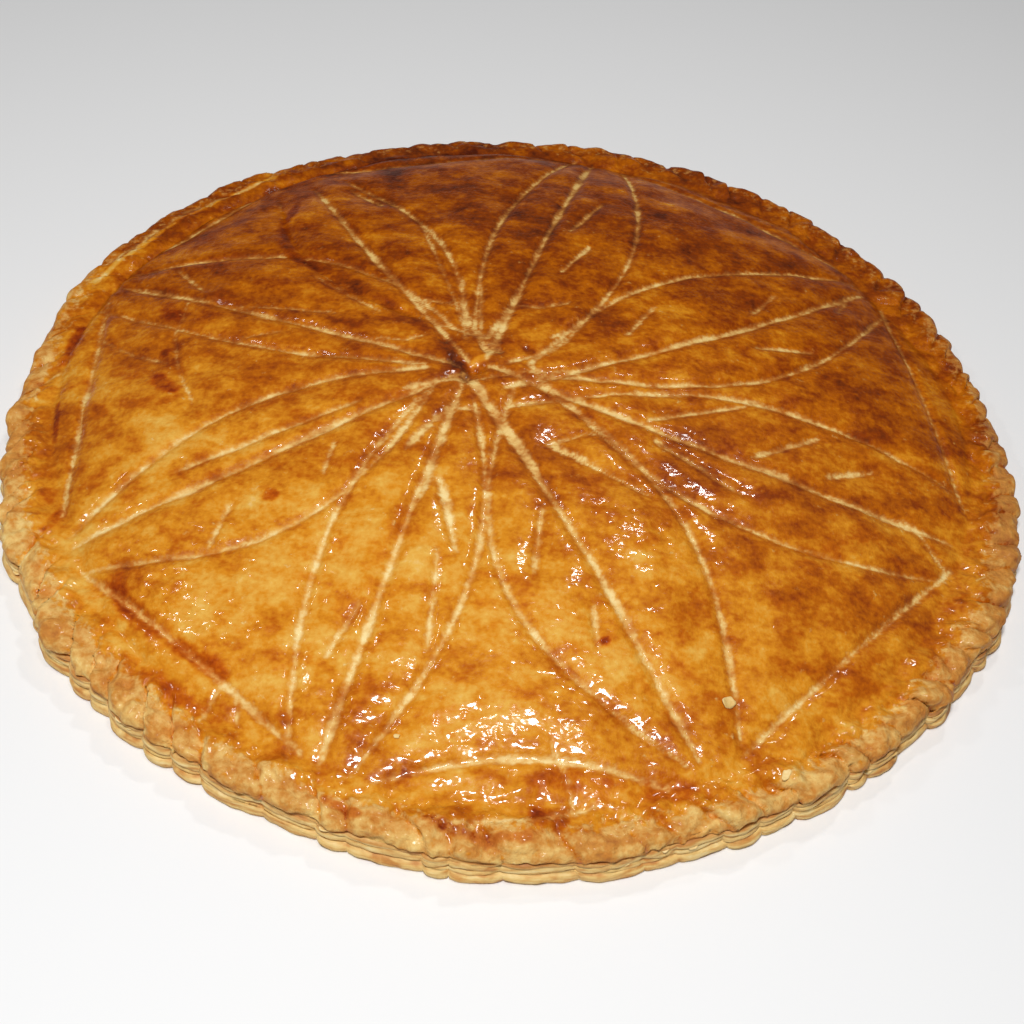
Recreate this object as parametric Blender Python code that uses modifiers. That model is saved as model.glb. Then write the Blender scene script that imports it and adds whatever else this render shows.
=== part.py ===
"""A king cake of puff pastry: a low dome scored with eight leaves, over a notched and sealed rim.

It is one baked piece, so it is one solid. A turned profile gives the plain cake, named functions
then push its surface into the dome's swells, the knife's score lines, the rim's tabs and the flaky
layers of its side, and the fine mesh is thinned to the faces that these forms need.
"""
import math
import random
from typing import NamedTuple

import bpy
import numpy as np
from mathutils import Vector, noise

MM = 0.001

# Driving dimensions of the whole cake
RIM_RADIUS = 158 * MM
HEIGHT = 36 * MM
FOOT_RADIUS = 144 * MM
MARGIN_HEIGHT = 12.5 * MM
LIP_HEIGHT = 8.5 * MM
BASE_LIP_HEIGHT = 1.8 * MM
BACK_FULLNESS = 0.76
FRONT_FULLNESS = 0.92
BACK_BEARING = math.radians(125)

# The knife's work on the dome
HUB = (-14 * MM, -3 * MM)
VENT_RADIUS = 3.2 * MM
VENT_DEPTH = 3.5 * MM
EDGE_WIDTH = 1.5 * MM
EDGE_DEPTH = 0.8 * MM
RIB_WIDTH = 1.9 * MM
RIB_DEPTH = 1.0 * MM
VEIN_WIDTH = 1.3 * MM
VEIN_DEPTH = 0.6 * MM
TIP_RADIUS = 147 * MM
PILLOW = 0.9 * MM
PILLOW_REACH = 7 * MM

# The rim's tabs, pressed in with the back of a knife
TAB_REACH = 3.0 * MM
TAB_LENGTH = 13 * MM
TAB_GROOVE = 3.2 * MM
TAB_BULGE = 0.5 * MM
TAB_LEAN = math.radians(4.0)
TAB_SEED = 6

# Round the rim: bearing in degrees, how far apart the notches are in mm, and how bold they are
TAB_TABLE = (
    (0, 9, 0.50), (25, 10, 0.45), (60, 12, 0.42), (120, 12, 0.38), (160, 9, 0.50), (190, 10, 0.65),
    (212, 13, 1.00), (245, 14, 0.95), (262, 15, 0.60), (285, 14, 0.60), (310, 13, 0.85), (335, 10, 0.80),
    (360, 9, 0.50),
)
TAB_EVENNESS = (0.55, 1.5)

# The side's flaky layers, and the pleat where the lid was folded under
LAYER_PITCH = 2.4 * MM
LAYER_RELIEF = 0.30 * MM
PLEAT_BEARINGS = (math.radians(112), math.radians(172))
PLEAT_RADIUS = 149 * MM
PLEAT_HEIGHT = 1.3 * MM

# The outline is not quite round: waves of so many lobes, by how much, and towards which bearing
OUTLINE_WAVES = ((3, 0.55 * MM, 43), (4, 0.7 * MM, -26), (5, 0.8 * MM, -11), (6, 0.7 * MM, -25))

# Unevenness of hand-rolled dough, and how finely the cake is worked
SWELL = 1.6 * MM
SWELL_SIZE = 55 * MM
FOOT_WANDER = 0.035
FOOT_CREASE = 0.3 * MM
MARGIN_LUMPS = 1.3 * MM
TURNS = 720
STATION = 1.5 * MM
TRIANGLES = 11200


class Leaf(NamedTuple):
    """One scored leaf: bearing in degrees, reach in mm, and how far each line stands off its axis.

    A line is given by its offset at the foot, its belly at mid length and its offset at the tip,
    in mm, positive to the left as seen from the hub.
    """
    bearing: float
    reach: float
    left: tuple
    right: tuple
    rib: tuple


LEAVES = (
    Leaf(77, 155, (0, 13, 5), (-15, -19, -10), (-3, 0, -1)),
    Leaf(33, 158, (-15, 22, 0), (1, -32, -14), (-12, -8, -4)),
    Leaf(-13, 157, (-23, 21, 18), (20, -31, -16), (3, -7, -2)),
    Leaf(-61, 147, (8, 21, 12), (19, -35, 0), (-4, 1, 1)),
    Leaf(-100, 143, (-3, 20, 2), (-5, -15, -12), (-1, 0, -5)),
    Leaf(-149, 132, (-10, 31, 10), (1, -19, -1), (1, 3, 1)),
    Leaf(157, 135, (2, 10, 16), (-6, -26, 0), (2, 2, 4)),
    Leaf(121, 129, (-18, 24, 12), (3, -17, -10), (0, 3, 0)),
)
LINE_START = 0.10
RIB_START = 0.03
LINE_END = 0.97

# How far inward the line from one leaf's tip to the next one's bows, in mm, leaf by leaf
ARC_BOWS = (0, 0, 0, 6, 0, 0, 0, 0)

# Short side veins, each cut straight from one place to another, in mm
VEINS = (
    (13, 76, 24, 100), (11, 50, 20, 68), (75, 45, 83, 58), (105, 57, 110, 68),
    (75, 25, 95, 30), (33, 20, 42, 37), (72, -26, 93, -12), (95, -27, 110, -20),
    (42, -26, 68, -42), (40, -18, 70, -5), (11, -33, 41, -48), (10, -57, 9, -80),
    (26, -88, 28, -100), (-18, -75, -18, -105), (-20, -50, -13, -75), (-38, -92, -45, -108),
    (-47, -21, -98, -47), (-79, -60, -83, -76), (-46, 22, -70, 42), (-105, 35, -117, 50),
    (-53, 90, -66, 103),
)


class Line(NamedTuple):
    """A scored line: the places that it runs through, its half width and its depth."""
    x: np.ndarray
    y: np.ndarray
    width: float
    depth: float


def clear_scene():
    """Remove what the file opened with."""
    for thing in list(bpy.data.objects):
        bpy.data.objects.remove(thing, do_unlink=True)


def ease(value, low, high):
    """Rise smoothly from 0 at low to 1 at high."""
    share = np.clip((value - low) / (high - low), 0.0, 1.0)
    return share * share * (3.0 - 2.0 * share)


def noise_at(x, y, z, size, seed):
    """Smooth noise of about -1 to 1 whose lumps are as large as size."""
    shift = 17.3 * seed
    places = zip(x / size + shift, y / size - shift, z / size)
    return np.array([noise.noise(Vector(place)) for place in places])


def dome_height(radius, fullness=BACK_FULLNESS):
    """Height of the plain dome over the table; the fuller it is, the steeper it ends."""
    share = np.clip(radius / FOOT_RADIUS, 0.0, 1.0)
    return MARGIN_HEIGHT + (HEIGHT - MARGIN_HEIGHT) * (1.0 - share**2) ** fullness


def profile():
    """Half of the cake's section, from the crown down its outer side to the middle of its base."""
    dome = [(r, dome_height(r)) for r in np.arange(0.0, FOOT_RADIUS, STATION)]
    margin_width = RIM_RADIUS - FOOT_RADIUS
    margin = []
    for share in np.linspace(0.0, 0.85, 12):
        rise = 0.4 * MM * math.sin(math.pi * share)
        margin.append((FOOT_RADIUS + margin_width * share, MARGIN_HEIGHT + rise))
    lip = (
        (RIM_RADIUS - 0.6 * MM, MARGIN_HEIGHT - 0.7 * MM),
        (RIM_RADIUS, MARGIN_HEIGHT - 1.9 * MM),
        (RIM_RADIUS + 0.1 * MM, LIP_HEIGHT + 0.9 * MM),
        (RIM_RADIUS - 0.6 * MM, LIP_HEIGHT),
        (RIM_RADIUS - 1.2 * MM, LIP_HEIGHT - 0.9 * MM),
    )
    layers = [(RIM_RADIUS - 0.9 * MM, z) for z in np.arange(7.0 * MM, 2.8 * MM, -0.6 * MM)]
    base_lip = (
        (RIM_RADIUS - 0.3 * MM, BASE_LIP_HEIGHT + 0.6 * MM),
        (RIM_RADIUS + 0.4 * MM, BASE_LIP_HEIGHT),
        (RIM_RADIUS, 0.7 * MM),
        (RIM_RADIUS - 1.4 * MM, 0.0),
    )
    base = [(r, 0.0) for r in np.linspace(RIM_RADIUS - 6 * MM, 0.0, 14)]
    return [*dome, *margin, *lip, *layers, *base_lip, *base]


def turned_mesh():
    """The plain cake: the section turned about the upright axis by a Screw modifier."""
    points = profile()
    outline = bpy.data.meshes.new("section")
    edges = [(i, i + 1) for i in range(len(points) - 1)]
    outline.from_pydata([(r, 0.0, z) for r, z in points], edges, [])
    section = bpy.data.objects.new("section", outline)
    bpy.context.scene.collection.objects.link(section)
    screw = section.modifiers.new("turn", "SCREW")
    screw.steps = TURNS
    screw.render_steps = TURNS
    screw.use_merge_vertices = True
    screw.merge_threshold = 0.00001
    graph = bpy.context.evaluated_depsgraph_get()
    mesh = bpy.data.meshes.new_from_object(section.evaluated_get(graph))
    bpy.data.objects.remove(section, do_unlink=True)
    return mesh


def leaf_line(leaf, offsets, width, depth, start=LINE_START):
    """One of a leaf's three long lines, as a bowed course beside the leaf's axis."""
    foot, belly, tip = offsets
    share = np.linspace(start, LINE_END, 90)
    across = (foot * (1.0 - share) + tip * share + belly * np.sin(math.pi * share)) * MM
    along = share * leaf.reach * MM
    turn = math.radians(leaf.bearing)
    x = HUB[0] + along * math.cos(turn) - across * math.sin(turn)
    y = HUB[1] + along * math.sin(turn) + across * math.cos(turn)
    return Line(x, y, width, depth)


def tip_bearing(leaf):
    """Bearing of a leaf's tip about the cake's own middle."""
    turn = math.radians(leaf.bearing)
    x = HUB[0] + leaf.reach * MM * math.cos(turn)
    y = HUB[1] + leaf.reach * MM * math.sin(turn)
    return math.atan2(y, x)


def rim_arc(start, end, bow):
    """The line scored across from one leaf's tip to the next, inside the margin."""
    half = ((start - end) % math.tau) / 2.0
    share = np.linspace(-1.0, 1.0, 60)
    turn = start - half - 0.8 * half * share
    radius = TIP_RADIUS * math.cos(half) / np.cos(0.8 * half * share) - bow * MM * (1.0 - share**2)
    return Line(radius * np.cos(turn), radius * np.sin(turn), EDGE_WIDTH, EDGE_DEPTH)


def vein(ends):
    """A short straight cut."""
    x0, y0, x1, y1 = (value * MM for value in ends)
    share = np.linspace(0.0, 1.0, 30)
    return Line(x0 + (x1 - x0) * share, y0 + (y1 - y0) * share, VEIN_WIDTH, VEIN_DEPTH)


def scored_lines():
    """Every line that the knife scored."""
    lines = []
    for number, leaf in enumerate(LEAVES):
        following = LEAVES[(number + 1) % len(LEAVES)]
        lines.append(leaf_line(leaf, leaf.left, EDGE_WIDTH, EDGE_DEPTH))
        lines.append(leaf_line(leaf, leaf.right, EDGE_WIDTH, EDGE_DEPTH))
        lines.append(leaf_line(leaf, leaf.rib, RIB_WIDTH, RIB_DEPTH, RIB_START))
        lines.append(rim_arc(tip_bearing(leaf), tip_bearing(following), ARC_BOWS[number]))
    lines.extend(vein(ends) for ends in VEINS)
    return lines


def gap_to_line(x, y, line):
    """Distance to the line, and how far along it the nearest place is, from 0 to 1."""
    away = np.hypot(x[:, None] - line.x[None, :], y[:, None] - line.y[None, :])
    nearest = away.argmin(axis=1)
    return away[np.arange(len(x)), nearest], nearest / (len(line.x) - 1)


def scoring(x, y):
    """Depth of the cuts, and how far the dough has puffed up between them, at each place."""
    cut = np.zeros(len(x))
    clear = np.full(len(x), 3.0 * PILLOW_REACH)
    for line in scored_lines():
        reach = 3.0 * PILLOW_REACH
        near_x = (x > line.x.min() - reach) & (x < line.x.max() + reach)
        near = np.flatnonzero(near_x & (y > line.y.min() - reach) & (y < line.y.max() + reach))
        gap, share = gap_to_line(x[near], y[near], line)
        fade = np.minimum(1.0, 0.25 + 6.0 * np.minimum(share, 1.0 - share))
        groove = line.depth * fade * np.exp(-((gap / line.width) ** 2))
        cut[near] = np.maximum(cut[near], groove)
        clear[near] = np.minimum(clear[near], gap)
    puff = PILLOW * (1.0 - np.exp(-clear / PILLOW_REACH))
    return cut, puff


def vent(x, y):
    """Depth of the small ragged hole that lets the steam out at the hub."""
    gap = np.hypot(x - HUB[0], y - HUB[1])
    return VENT_DEPTH * np.exp(-((gap / VENT_RADIUS) ** 2))


def round_rim(turn):
    """How far apart the rim's notches are at a bearing, and how bold they are."""
    bearing, pitch, bold = np.array(TAB_TABLE).T
    return np.interp(np.degrees(turn), bearing, pitch * MM), np.interp(np.degrees(turn), bearing, bold)


def tab_marks():
    """Bearing of each notch, how far each tab stands out, and how deep each notch is."""
    draw = random.Random(TAB_SEED)
    marks = [0.0]
    while marks[-1] < math.tau:
        pitch, _ = round_rim(marks[-1])
        marks.append(marks[-1] + pitch * draw.uniform(*TAB_EVENNESS) / RIM_RADIUS)
    marks = np.array(marks) * math.tau / marks[-1]
    reaches = np.array([draw.uniform(0.3, 1.3) for _ in marks[1:]])
    depths = np.array([draw.uniform(0.35, 1.25) for _ in marks[1:]])
    return marks, reaches, depths


def tab_form(turn, radius):
    """For each place: the tab's rounded outline and its shingled back, its reach and its notch's depth."""
    marks, reaches, depths = tab_marks()
    wobble = 0.022 * noise_at(radius * np.cos(turn), radius * np.sin(turn), 0.0 * turn, 9 * MM, 7)
    leaning = (turn + TAB_LEAN * (RIM_RADIUS - radius) / TAB_LENGTH + wobble) % math.tau
    index = np.clip(np.searchsorted(marks, leaning, side="right") - 1, 0, len(reaches) - 1)
    share = np.clip((leaning - marks[index]) / (marks[index + 1] - marks[index]), 0.0, 1.0)
    rounded = np.sin(math.pi * share**0.75) ** 0.5
    shingled = ease(share, 0.0, 0.16) * (1.0 - 0.6 * share**1.3) * (1.0 - ease(share, 0.92, 1.0))
    following = depths[(index + 1) % len(depths)]
    depth = depths[index] + (following - depths[index]) * ease(share, 0.3, 0.9)
    return rounded, shingled, reaches[index], depth


def pleat(turn, radius):
    """Rise of the folded-over margin on the far left: a crest with a crease inside it."""
    first, last = PLEAT_BEARINGS
    there = ease(turn, first, first + 0.15) * (1.0 - ease(turn, last - 0.15, last))
    crest = np.exp(-(((radius - PLEAT_RADIUS) / (3.0 * MM)) ** 2))
    crease = np.exp(-(((radius - PLEAT_RADIUS + 4.5 * MM) / (1.6 * MM)) ** 2))
    return PLEAT_HEIGHT * there * (crest - 0.5 * crease)


def crease(turn, radius):
    """Depth of the fold at the dome's foot, sharp at the back and all but gone at the front."""
    strength = 0.55 + 0.45 * np.cos(turn - BACK_BEARING)
    return FOOT_CREASE * strength * np.exp(-(((radius - FOOT_RADIUS) / (2.0 * MM)) ** 2))


def lift(x, y, z, radius, turn):
    """How far each place of the top moves up or down."""
    swell = SWELL * noise_at(x, y, 0.0 * z, SWELL_SIZE, 1)
    ripple = 0.25 * SWELL * noise_at(x, y, 0.0 * z, SWELL_SIZE / 4.0, 2)
    about = noise_at(np.cos(turn), np.sin(turn), 0.0 * z, 0.45, 5)
    frontness = 0.5 - 0.5 * np.cos(turn - BACK_BEARING)
    fullness = BACK_FULLNESS + (FRONT_FULLNESS - BACK_FULLNESS) * frontness
    slump = dome_height(radius * (1.0 + FOOT_WANDER * about), fullness) - dome_height(radius)
    inside = 1.0 - ease(radius, FOOT_RADIUS - 4 * MM, FOOT_RADIUS + 5 * MM)
    cut, puff = scoring(x, y)
    _, shingled, reach, depth = tab_form(turn, radius)
    edge = ease(radius, RIM_RADIUS - TAB_LENGTH - 2 * MM, RIM_RADIUS - 4 * MM)
    billow = 2.4 * np.abs(noise_at(x, y, 0.0 * z, SWELL_SIZE / 5.0, 6)) - 0.5
    lumps = (1.0 - inside) * MARGIN_LUMPS * (0.55 + 0.45 * frontness) * billow
    _, bold = round_rim(turn)
    notch = TAB_GROOVE * bold * depth * (1.0 - shingled) * edge
    plump = TAB_GROOVE * 0.6 * bold * (reach - 0.8) * shingled * edge
    plump += TAB_BULGE * bold * np.exp(-(((radius - 151 * MM) / (4.5 * MM)) ** 2))
    top = (swell + puff) * inside + slump + ripple + lumps - notch + plump
    top += pleat(turn, radius) - cut - vent(x, y) - crease(turn, radius)
    return top * ease(z, LIP_HEIGHT - 1.5 * MM, LIP_HEIGHT + 2.0 * MM)


def outline_wander(turn):
    """How far the rim stands outside a true circle, apart from its tabs."""
    waves = [size * np.cos(lobes * (turn - math.radians(peak))) for lobes, size, peak in OUTLINE_WAVES]
    return sum(waves)


def spread(x, y, z, radius, turn):
    """How far each place near the rim moves out: tabs, an uneven outline and flaky layers."""
    rounded, _, reach, _ = tab_form(turn, radius)
    edge = ease(radius, RIM_RADIUS - TAB_LENGTH, RIM_RADIUS - 2 * MM)
    _, bold = round_rim(turn)
    tabs = TAB_REACH * bold * (reach * rounded - 0.5)
    wave = z / LAYER_PITCH + 0.9 * noise_at(x, y, z, 14 * MM, 4)
    flaky = LAYER_RELIEF * np.cos(math.tau * wave)
    flaky *= ease(z, 0.6 * MM, 2.0 * MM) * (1.0 - ease(z, LIP_HEIGHT - 1 * MM, LIP_HEIGHT))
    return edge * (tabs + outline_wander(turn)) + flaky * ease(radius, RIM_RADIUS - 4 * MM, RIM_RADIUS - 2 * MM)


def shape(mesh):
    """Push the turned cake into its baked form and stand it centred on the table."""
    flat = np.empty(len(mesh.vertices) * 3)
    mesh.vertices.foreach_get("co", flat)
    x, y, z = flat.reshape(-1, 3).T
    radius = np.hypot(x, y)
    turn = np.arctan2(y, x) % math.tau
    rise = lift(x, y, z, radius, turn)
    scale = 1.0 + spread(x, y, z, radius, turn) / np.maximum(radius, STATION)
    place = np.stack([x * scale, y * scale, z + rise], axis=1)
    place[:, :2] -= (place[:, :2].max(axis=0) + place[:, :2].min(axis=0)) / 2.0
    mesh.vertices.foreach_set("co", place.ravel())
    mesh.update()


def pastry_material():
    """Baked, egg-washed pastry."""
    material = bpy.data.materials.new("baked_pastry")
    material.use_nodes = True
    shader = material.node_tree.nodes["Principled BSDF"]
    shader.inputs["Base Color"].default_value = (0.60, 0.27, 0.06, 1.0)
    shader.inputs["Roughness"].default_value = 0.42
    shader.inputs["Metallic"].default_value = 0.0
    material.diffuse_color = (0.60, 0.27, 0.06, 1.0)
    return material


def add_cake(collection):
    """The finished cake, thinned to the faces that its forms need."""
    mesh = turned_mesh()
    mesh.name = "king_cake"
    shape(mesh)
    cake = bpy.data.objects.new("king_cake", mesh)
    collection.objects.link(cake)
    mesh.materials.clear()
    mesh.materials.append(pastry_material())
    mesh.shade_smooth()
    mesh.calc_loop_triangles()
    thin = cake.modifiers.new("thin", "DECIMATE")
    thin.ratio = TRIANGLES / len(mesh.loop_triangles)
    thin.use_collapse_triangulate = True
    return cake


def main():
    """Build the cake in a collection of its own."""
    clear_scene()
    collection = bpy.data.collections.new("KingCake")
    bpy.context.scene.collection.children.link(collection)
    add_cake(collection)


main()
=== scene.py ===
# %% [markdown]
# # A king cake of puff pastry
# This lesson dresses one baked cake: a low glazed dome, scored with eight leaves by the tip of a knife,
# over a notched rim whose thin layers show at the side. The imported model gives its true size, and its
# mesh stays as it is. Finer pieces with the same form are built here and stand in its place.

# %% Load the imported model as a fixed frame
import math
import random
from typing import NamedTuple

import bpy
import numpy as np
from mathutils import Matrix, Vector, noise
from mathutils.bvhtree import BVHTree


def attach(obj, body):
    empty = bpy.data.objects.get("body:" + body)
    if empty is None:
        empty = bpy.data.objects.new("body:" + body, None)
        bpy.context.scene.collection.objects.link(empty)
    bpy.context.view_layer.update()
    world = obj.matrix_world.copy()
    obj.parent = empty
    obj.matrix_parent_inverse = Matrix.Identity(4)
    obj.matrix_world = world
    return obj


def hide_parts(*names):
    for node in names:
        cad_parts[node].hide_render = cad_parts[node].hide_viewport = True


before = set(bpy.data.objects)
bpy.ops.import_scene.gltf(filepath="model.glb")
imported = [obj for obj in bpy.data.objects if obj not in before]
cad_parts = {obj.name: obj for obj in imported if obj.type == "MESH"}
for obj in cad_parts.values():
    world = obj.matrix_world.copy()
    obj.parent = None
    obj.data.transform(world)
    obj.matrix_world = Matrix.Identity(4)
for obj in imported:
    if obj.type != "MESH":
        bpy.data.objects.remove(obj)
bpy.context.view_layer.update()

MM = 0.001


# %% [markdown]
# ## The camera
# The cake was seen from half a metre away, from about 46 degrees above the table, by a camera held a
# few degrees off level. A camera at the same place, with the same lens and the same tilt, gives the
# same picture, so that every later step can be judged against it.

# %% Put the camera where the cake was seen from
CAMERA_AIM = Vector((0.83, -33.8, 6.5)) * MM
CAMERA_AWAY = 500 * MM
CAMERA_RISE = math.radians(46.14)
CAMERA_ROLL = math.radians(4.96)
SENSOR_WIDTH = 36.0
FOCAL_LENGTH = 57.6

towards_camera = Vector((0.0, -math.cos(CAMERA_RISE), math.sin(CAMERA_RISE)))
bpy.ops.object.camera_add(location=CAMERA_AIM + CAMERA_AWAY * towards_camera)
camera = bpy.context.object
camera.rotation_mode = "QUATERNION"
roll = Matrix.Rotation(CAMERA_ROLL, 3, "Z").to_quaternion()
camera.rotation_quaternion = towards_camera.to_track_quat("Z", "Y") @ roll
camera.data.sensor_width = SENSOR_WIDTH
camera.data.lens = FOCAL_LENGTH
bpy.context.scene.camera = camera
print("camera at", [round(v, 3) for v in camera.location])

# %% [markdown]
# ## Sizes
# The cake is 320 mm across and 36 mm high, the size that serves eight to ten. Everything that has a
# size gets a name here, so that a change is made in one place.

# %% Name the sizes of the cake
RIM_RADIUS = 158 * MM
HEIGHT = 36 * MM
FOOT_RADIUS = 144 * MM
MARGIN_HEIGHT = 12.5 * MM
LIP_HEIGHT = 8.5 * MM
BASE_LIP_HEIGHT = 1.8 * MM
BACK_FULLNESS = 0.76
FRONT_FULLNESS = 0.92
BACK_BEARING = math.radians(125)
HUB = (-14 * MM, -3 * MM)


def ease(value, low, high):
    """Rise smoothly from 0 at low to 1 at high."""
    share = np.clip((value - low) / (high - low), 0.0, 1.0)
    return share * share * (3.0 - 2.0 * share)


def noise_at(x, y, z, size, seed):
    """Smooth noise of about -1 to 1 whose lumps are as large as size."""
    shift = 17.3 * seed
    places = zip(x / size + shift, y / size - shift, z / size)
    return np.array([noise.noise(Vector(place)) for place in places])


def dome_height(radius, fullness=BACK_FULLNESS):
    """Height of the plain dome over the table; the fuller it is, the steeper it ends."""
    share = np.clip(radius / FOOT_RADIUS, 0.0, 1.0)
    return MARGIN_HEIGHT + (HEIGHT - MARGIN_HEIGHT) * (1.0 - share**2) ** fullness


# %% [markdown]
# ## The knife's lines
# A leaf is three long bowed cuts: two edges and a midrib. A line straight across joins one tip to the
# next, and short veins fill the leaves. Each leaf is described by a bearing, a reach and how far its
# lines stand off its axis at foot, middle and tip, so eight short rows hold the long cuts. The veins,
# the scratches and the worn strokes round the hub are too uneven for a rule, so they are listed.

# %% Lay out the leaves
class Leaf(NamedTuple):
    """One scored leaf: bearing in degrees, reach in mm, and its lines' offsets at foot, belly and tip."""
    bearing: float
    reach: float
    left: tuple
    right: tuple
    rib: tuple


class Line(NamedTuple):
    """A scored line: the places it runs through, its half width and depth, and half its pale strip."""
    x: np.ndarray
    y: np.ndarray
    width: float
    depth: float
    pale: float


LEAVES = (
    Leaf(77, 155, (0, 13, 5), (-15, -19, -10), (-3, 0, -1)),
    Leaf(33, 158, (-15, 22, 0), (1, -32, -14), (-12, -8, -4)),
    Leaf(-13, 157, (-23, 21, 18), (20, -31, -16), (3, -7, -2)),
    Leaf(-61, 147, (8, 21, 12), (19, -35, 0), (-4, 1, 1)),
    Leaf(-100, 143, (-3, 20, 2), (-5, -15, -12), (-1, 0, -5)),
    Leaf(-149, 132, (-10, 31, 10), (1, -19, -1), (1, 3, 1)),
    Leaf(157, 135, (2, 10, 16), (-6, -26, 0), (2, 2, 4)),
    Leaf(121, 129, (-18, 24, 12), (3, -17, -10), (0, 3, 0)),
)
LINE_START = 0.10
RIB_START = 0.03
LINE_END = 0.97
TIP_RADIUS = 147 * MM

# How far inward the line from one leaf's tip to the next one's bows, in mm, leaf by leaf
ARC_BOWS = (0, 0, 0, 6, 0, 0, 0, 0)

# Half width and depth of a cut, and half the width of its pale strip
EDGE_CUT = (1.5 * MM, 0.8 * MM, 0.75 * MM)
RIB_CUT = (1.9 * MM, 1.0 * MM, 1.1 * MM)
VEIN_CUT = (1.3 * MM, 0.6 * MM, 0.7 * MM)
SCRATCH_CUT = (0.8 * MM, 0.3 * MM, 0.5 * MM)
WORN_CUT = (1.3 * MM, 0.2 * MM, 1.25 * MM)

# Short side veins and light scratches, each from place to place, with x and y in turn, in mm
VEINS = (
    (13, 76, 24, 100), (11, 50, 20, 68), (75, 45, 83, 58), (105, 57, 110, 68),
    (75, 25, 95, 30), (33, 20, 42, 37), (72, -26, 93, -12), (95, -27, 110, -20),
    (42, -26, 68, -42), (40, -18, 70, -5), (11, -33, 41, -48), (10, -57, 9, -80),
    (26, -88, 28, -100), (-18, -75, -18, -105), (-20, -50, -13, -75), (-38, -92, -45, -108),
    (-47, -21, -98, -47), (-79, -60, -83, -76), (-46, 22, -70, 42), (-105, 35, -117, 50),
    (-53, 90, -66, 103),
)
SCRATCHES = (
    (-60, 21, -105, 28), (-88, 9, -75, 12), (-137, 17, -122, 5, -110, 0), (-156, -6, -145, 3),
    (-109, 30, -110, 13, -106, -3, -98, -19), (-143, 58, -122, 92, -95, 116), (-17, 12, -38, 77),
    (-52, -38, -54, -50), (-76, -127, -72, -117, -67, -119, -66, -127), (17, -128, 22, -137, 24, -145),
    (118, -36, 124, -40, 131, -52), (10, -33, 20, -28, 24, -27), (30, -143, 12, -149, -10, -151),
    (-24, -26, -20, -23, -11, -21), (-12, -9, -1, -4, 14, -1, 30, 6),
    (-8, -2, 2, -6, 11, -9, 19, -18, 29, -30), (-4, 0, 7, 6, 15, 15), (9, 14, 16, 21),
    (-13, 10, -13, 14, -15, 42), (-34, 29, -23, 27), (-45, 8, -36, 7, -30, 11), (-5, 29, 5, 30, 14, 33),
)

# Round the hub the knife went over its own lines, and the crust between them has come away
WORN = (
    (-14, -9, -8, -18, 1, -33, 8, -44), (-18, -20, -24, -28, -31, -40), (-19, -24, -21, -35, -25, -58),
    (-12, 10, -18, 19, -20, 30, -21, 42), (-11, 10, -9, 16, -4, 29), (11, -33, 22, -38),
    (-16, -9, -22, -10, -34, -15), (-20, -50, -15, -66), (-13, 9, -9, 3), (-10, 9, -6, 4),
)


def leaf_line(leaf, offsets, cut, start=LINE_START):
    """One of a leaf's three long lines, as a bowed course beside the leaf's axis."""
    foot, belly, tip = offsets
    share = np.linspace(start, LINE_END, 90)
    across = (foot * (1.0 - share) + tip * share + belly * np.sin(math.pi * share)) * MM
    along = share * leaf.reach * MM
    turn = math.radians(leaf.bearing)
    x = HUB[0] + along * math.cos(turn) - across * math.sin(turn)
    y = HUB[1] + along * math.sin(turn) + across * math.cos(turn)
    return Line(x, y, *cut)


def tip_bearing(leaf):
    """Bearing of a leaf's tip about the cake's own middle."""
    turn = math.radians(leaf.bearing)
    x = HUB[0] + leaf.reach * MM * math.cos(turn)
    y = HUB[1] + leaf.reach * MM * math.sin(turn)
    return math.atan2(y, x)


def rim_arc(start, end, bow):
    """The line scored across from one leaf's tip to the next, inside the margin."""
    half = ((start - end) % math.tau) / 2.0
    share = np.linspace(-1.0, 1.0, 60)
    turn = start - half - 0.8 * half * share
    radius = TIP_RADIUS * math.cos(half) / np.cos(0.8 * half * share) - bow * MM * (1.0 - share**2)
    return Line(radius * np.cos(turn), radius * np.sin(turn), *EDGE_CUT)


def vein(places, cut):
    """A short cut from place to place, given as x and y in turn."""
    x, y = np.array(places[0::2]) * MM, np.array(places[1::2]) * MM
    stop = np.linspace(0.0, len(x) - 1.0, 30)
    return Line(np.interp(stop, np.arange(len(x)), x), np.interp(stop, np.arange(len(y)), y), *cut)


lines = []
for number, leaf in enumerate(LEAVES):
    following = LEAVES[(number + 1) % len(LEAVES)]
    lines.append(leaf_line(leaf, leaf.left, EDGE_CUT))
    lines.append(leaf_line(leaf, leaf.right, EDGE_CUT))
    lines.append(leaf_line(leaf, leaf.rib, RIB_CUT, RIB_START))
    lines.append(rim_arc(tip_bearing(leaf), tip_bearing(following), ARC_BOWS[number]))
lines.extend(vein(places, VEIN_CUT) for places in VEINS)
lines.extend(vein(places, SCRATCH_CUT) for places in SCRATCHES)
lines.extend(vein(places, WORN_CUT) for places in WORN)
print(len(lines), "scored lines")

# %% [markdown]
# ## How far each place is from a cut
# The cuts are pressed into the mesh, and later they are coloured too, so both steps need the distance
# from a place to the nearest cut. It is measured to each short stretch of the line, because the
# distance to the line's own points alone would leave beads along it.

# %% Measure the distance from each place to a cut
PILLOW_REACH = 7 * MM
PILLOW = 0.9 * MM
CLEAR_OF_CUTS = 8.0 * MM
PRESSURE = 0.85
PRESSURE_CHANGE = 0.75
PRESSURE_WAVES = 9.0
FIRST_LINE_SEED = 40

# How much of a cut there is at its ends, and of its pale strip at its start and end, and how both grow
CUT_AT_ENDS = 0.25
CUT_GROWS = 6.0
STRIP_AT_START = 0.7
STRIP_AT_END = 0.2
STRIP_GROWS = 9.0


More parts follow.
